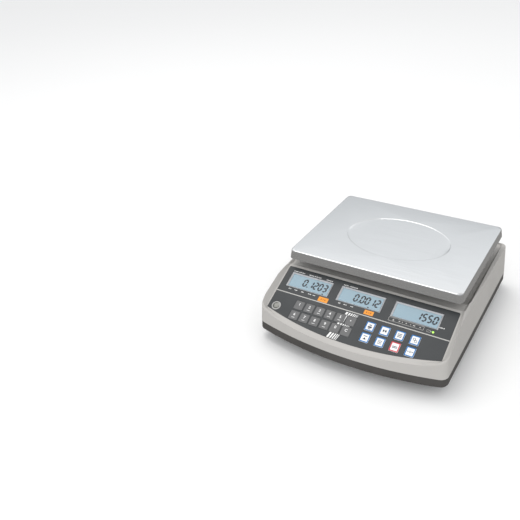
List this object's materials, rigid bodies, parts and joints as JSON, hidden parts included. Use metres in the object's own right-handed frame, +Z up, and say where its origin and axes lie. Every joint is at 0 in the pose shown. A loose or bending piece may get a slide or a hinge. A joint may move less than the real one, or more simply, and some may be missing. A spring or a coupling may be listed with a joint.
{
  "type": "counting scale",
  "caption": "Bench counting scale with a removable steel pan on a load cell, a sloped panel with three displays and membrane keys, and levelling feet.",
  "frame": {"origin": "centre of the footprint, on the table under the levelling feet", "axes": "+Z up, +Y towards the back with the sockets, front panel at -Y, +X to the operator's right"},
  "size_m": [0.32, 0.35, 0.125],
  "materials": {
    "satin_steel": "satin stainless sheet",
    "cast_alloy": "cast, bead blasted",
    "cell_alloy": "milled and clear anodised",
    "zinc_steel": "zinc plated",
    "black_steel": "black oxide",
    "insert_brass": "turned",
    "light_plastic": "fine spark texture",
    "dark_plastic": "fine spark texture",
    "overlay_film": "satin film",
    "bezel_plastic": "silver grey",
    "lcd_module": "backlit display glass",
    "circuit_board": "solder resist",
    "key_grey": "satin",
    "key_white": "satin",
    "ring_plastic": "moulded",
    "vial_glass": "liquid filled",
    "led_lens": "tinted",
    "black_rubber": "moulded",
    "black_plastic": "moulded",
    "battery_case": "moulded",
    "lead_sheath": "extruded"
  },
  "bodies": {
    "housing": {"load_cell": "cell_alloy", "load_cell_plate": "zinc_steel", "load_cell_screws": "black_steel", "overload_stops": "zinc_steel", "upper_housing": "light_plastic", "lower_housing": "dark_plastic", "keypad_overlay": "overlay_film", "display_bezels": "bezel_plastic", "lcd_weight": "lcd_module", "lcd_unit": "lcd_module", "lcd_count": "lcd_module", "display_board": "circuit_board", "keypad_board": "circuit_board", "main_board": "circuit_board", "level_ring": "ring_plastic", "level_vial": "vial_glass", "status_led": "led_lens", "foot_inserts": "insert_brass", "battery": "battery_case", "switch_frame": "black_plastic", "dc_socket": "black_plastic", "rs232_socket": "zinc_steel", "platform_socket": "zinc_steel", "housing_screws": "zinc_steel", "wiring": "lead_sheath"},
    "load_head": {"load_cell_spacer": "cell_alloy", "support_screws": "black_steel", "pan_support": "cast_alloy", "pan_pads": "black_rubber"},
    "pan": {"weighing_pan": "satin_steel"},
    "cover": {"battery_cover": "dark_plastic"},
    "rocker": {"switch_rocker": "black_plastic"},
    "key_1": {"key_1": "key_grey"},
    "key_2": {"key_2": "key_grey"},
    "key_3": {"key_3": "key_grey"},
    "key_4": {"key_4": "key_grey"},
    "key_5": {"key_5": "key_grey"},
    "key_point": {"key_point": "key_grey"},
    "key_6": {"key_6": "key_grey"},
    "key_7": {"key_7": "key_grey"},
    "key_8": {"key_8": "key_grey"},
    "key_9": {"key_9": "key_grey"},
    "key_0": {"key_0": "key_grey"},
    "key_clear": {"key_clear": "key_grey"},
    "key_print": {"key_print": "key_white"},
    "key_unit": {"key_unit": "key_white"},
    "key_preset": {"key_preset": "key_white"},
    "key_mode": {"key_mode": "key_white"},
    "key_piece_weight": {"key_piece_weight": "key_white"},
    "key_piece_count": {"key_piece_count": "key_white"},
    "key_tare": {"key_tare": "key_white"},
    "key_zero": {"key_zero": "key_white"},
    "foot_fl": {"foot_stud_fl": "zinc_steel", "foot_disc_fl": "black_rubber"},
    "foot_fr": {"foot_stud_fr": "zinc_steel", "foot_disc_fr": "black_rubber"},
    "foot_bl": {"foot_stud_bl": "zinc_steel", "foot_disc_bl": "black_rubber"},
    "foot_br": {"foot_stud_br": "zinc_steel", "foot_disc_br": "black_rubber"}
  },
  "joints": [
    {"name": "load_deflection", "type": "slide", "parent": "housing", "child": "load_head", "axis": [0, 0, -1], "range_m": [0, 0.0004], "stiffness_N_per_m": 200000, "springref_m": -0.00005, "deforming": ["load_cell"]},
    {"name": "pan_lift_off", "type": "slide", "parent": "load_head", "child": "pan", "axis": [0, 0, 1], "range_m": [0, 0.06]},
    {"name": "battery_cover_off", "type": "slide", "parent": "housing", "child": "cover", "axis": [0, 0, -1], "range_m": [0, 0.015]},
    {"name": "power_rocker", "type": "hinge", "parent": "housing", "child": "rocker", "pos_m": [0.108, 0.1666, 0.05], "axis": [1, 0, 0], "range_deg": [0, 16]},
    {"name": "key_1_press", "type": "slide", "parent": "housing", "child": "key_1", "axis": [0, 0.3875, -0.9219], "range_m": [0, 0.0005], "stiffness_N_per_m": 1200},
    {"name": "key_2_press", "type": "slide", "parent": "housing", "child": "key_2", "axis": [0, 0.3875, -0.9219], "range_m": [0, 0.0005], "stiffness_N_per_m": 1200},
    {"name": "key_3_press", "type": "slide", "parent": "housing", "child": "key_3", "axis": [0, 0.3875, -0.9219], "range_m": [0, 0.0005], "stiffness_N_per_m": 1200},
    {"name": "key_4_press", "type": "slide", "parent": "housing", "child": "key_4", "axis": [0, 0.3875, -0.9219], "range_m": [0, 0.0005], "stiffness_N_per_m": 1200},
    {"name": "key_5_press", "type": "slide", "parent": "housing", "child": "key_5", "axis": [0, 0.3875, -0.9219], "range_m": [0, 0.0005], "stiffness_N_per_m": 1200},
    {"name": "key_point_press", "type": "slide", "parent": "housing", "child": "key_point", "axis": [0, 0.3875, -0.9219], "range_m": [0, 0.0005], "stiffness_N_per_m": 1200},
    {"name": "key_6_press", "type": "slide", "parent": "housing", "child": "key_6", "axis": [0, 0.3875, -0.9219], "range_m": [0, 0.0005], "stiffness_N_per_m": 1200},
    {"name": "key_7_press", "type": "slide", "parent": "housing", "child": "key_7", "axis": [0, 0.3875, -0.9219], "range_m": [0, 0.0005], "stiffness_N_per_m": 1200},
    {"name": "key_8_press", "type": "slide", "parent": "housing", "child": "key_8", "axis": [0, 0.3875, -0.9219], "range_m": [0, 0.0005], "stiffness_N_per_m": 1200},
    {"name": "key_9_press", "type": "slide", "parent": "housing", "child": "key_9", "axis": [0, 0.3875, -0.9219], "range_m": [0, 0.0005], "stiffness_N_per_m": 1200},
    {"name": "key_0_press", "type": "slide", "parent": "housing", "child": "key_0", "axis": [0, 0.3875, -0.9219], "range_m": [0, 0.0005], "stiffness_N_per_m": 1200},
    {"name": "key_clear_press", "type": "slide", "parent": "housing", "child": "key_clear", "axis": [0, 0.3875, -0.9219], "range_m": [0, 0.0005], "stiffness_N_per_m": 1200},
    {"name": "key_print_press", "type": "slide", "parent": "housing", "child": "key_print", "axis": [0, 0.3875, -0.9219], "range_m": [0, 0.0005], "stiffness_N_per_m": 1200},
    {"name": "key_unit_press", "type": "slide", "parent": "housing", "child": "key_unit", "axis": [0, 0.3875, -0.9219], "range_m": [0, 0.0005], "stiffness_N_per_m": 1200},
    {"name": "key_preset_press", "type": "slide", "parent": "housing", "child": "key_preset", "axis": [0, 0.3875, -0.9219], "range_m": [0, 0.0005], "stiffness_N_per_m": 1200},
    {"name": "key_mode_press", "type": "slide", "parent": "housing", "child": "key_mode", "axis": [0, 0.3875, -0.9219], "range_m": [0, 0.0005], "stiffness_N_per_m": 1200},
    {"name": "key_piece_weight_press", "type": "slide", "parent": "housing", "child": "key_piece_weight", "axis": [0, 0.3875, -0.9219], "range_m": [0, 0.0005], "stiffness_N_per_m": 1200},
    {"name": "key_piece_count_press", "type": "slide", "parent": "housing", "child": "key_piece_count", "axis": [0, 0.3875, -0.9219], "range_m": [0, 0.0005], "stiffness_N_per_m": 1200},
    {"name": "key_tare_press", "type": "slide", "parent": "housing", "child": "key_tare", "axis": [0, 0.3875, -0.9219], "range_m": [0, 0.0005], "stiffness_N_per_m": 1200},
    {"name": "key_zero_press", "type": "slide", "parent": "housing", "child": "key_zero", "axis": [0, 0.3875, -0.9219], "range_m": [0, 0.0005], "stiffness_N_per_m": 1200},
    {"name": "foot_fl_height", "type": "slide", "parent": "housing", "child": "foot_fl", "axis": [0, 0, -1], "range_m": [-0.0036, 0.0036]},
    {"name": "foot_fr_height", "type": "slide", "parent": "housing", "child": "foot_fr", "axis": [0, 0, -1], "range_m": [-0.0036, 0.0036]},
    {"name": "foot_bl_height", "type": "slide", "parent": "housing", "child": "foot_bl", "axis": [0, 0, -1], "range_m": [-0.0036, 0.0036]},
    {"name": "foot_br_height", "type": "slide", "parent": "housing", "child": "foot_br", "axis": [0, 0, -1], "range_m": [-0.0036, 0.0036]}
  ]
}
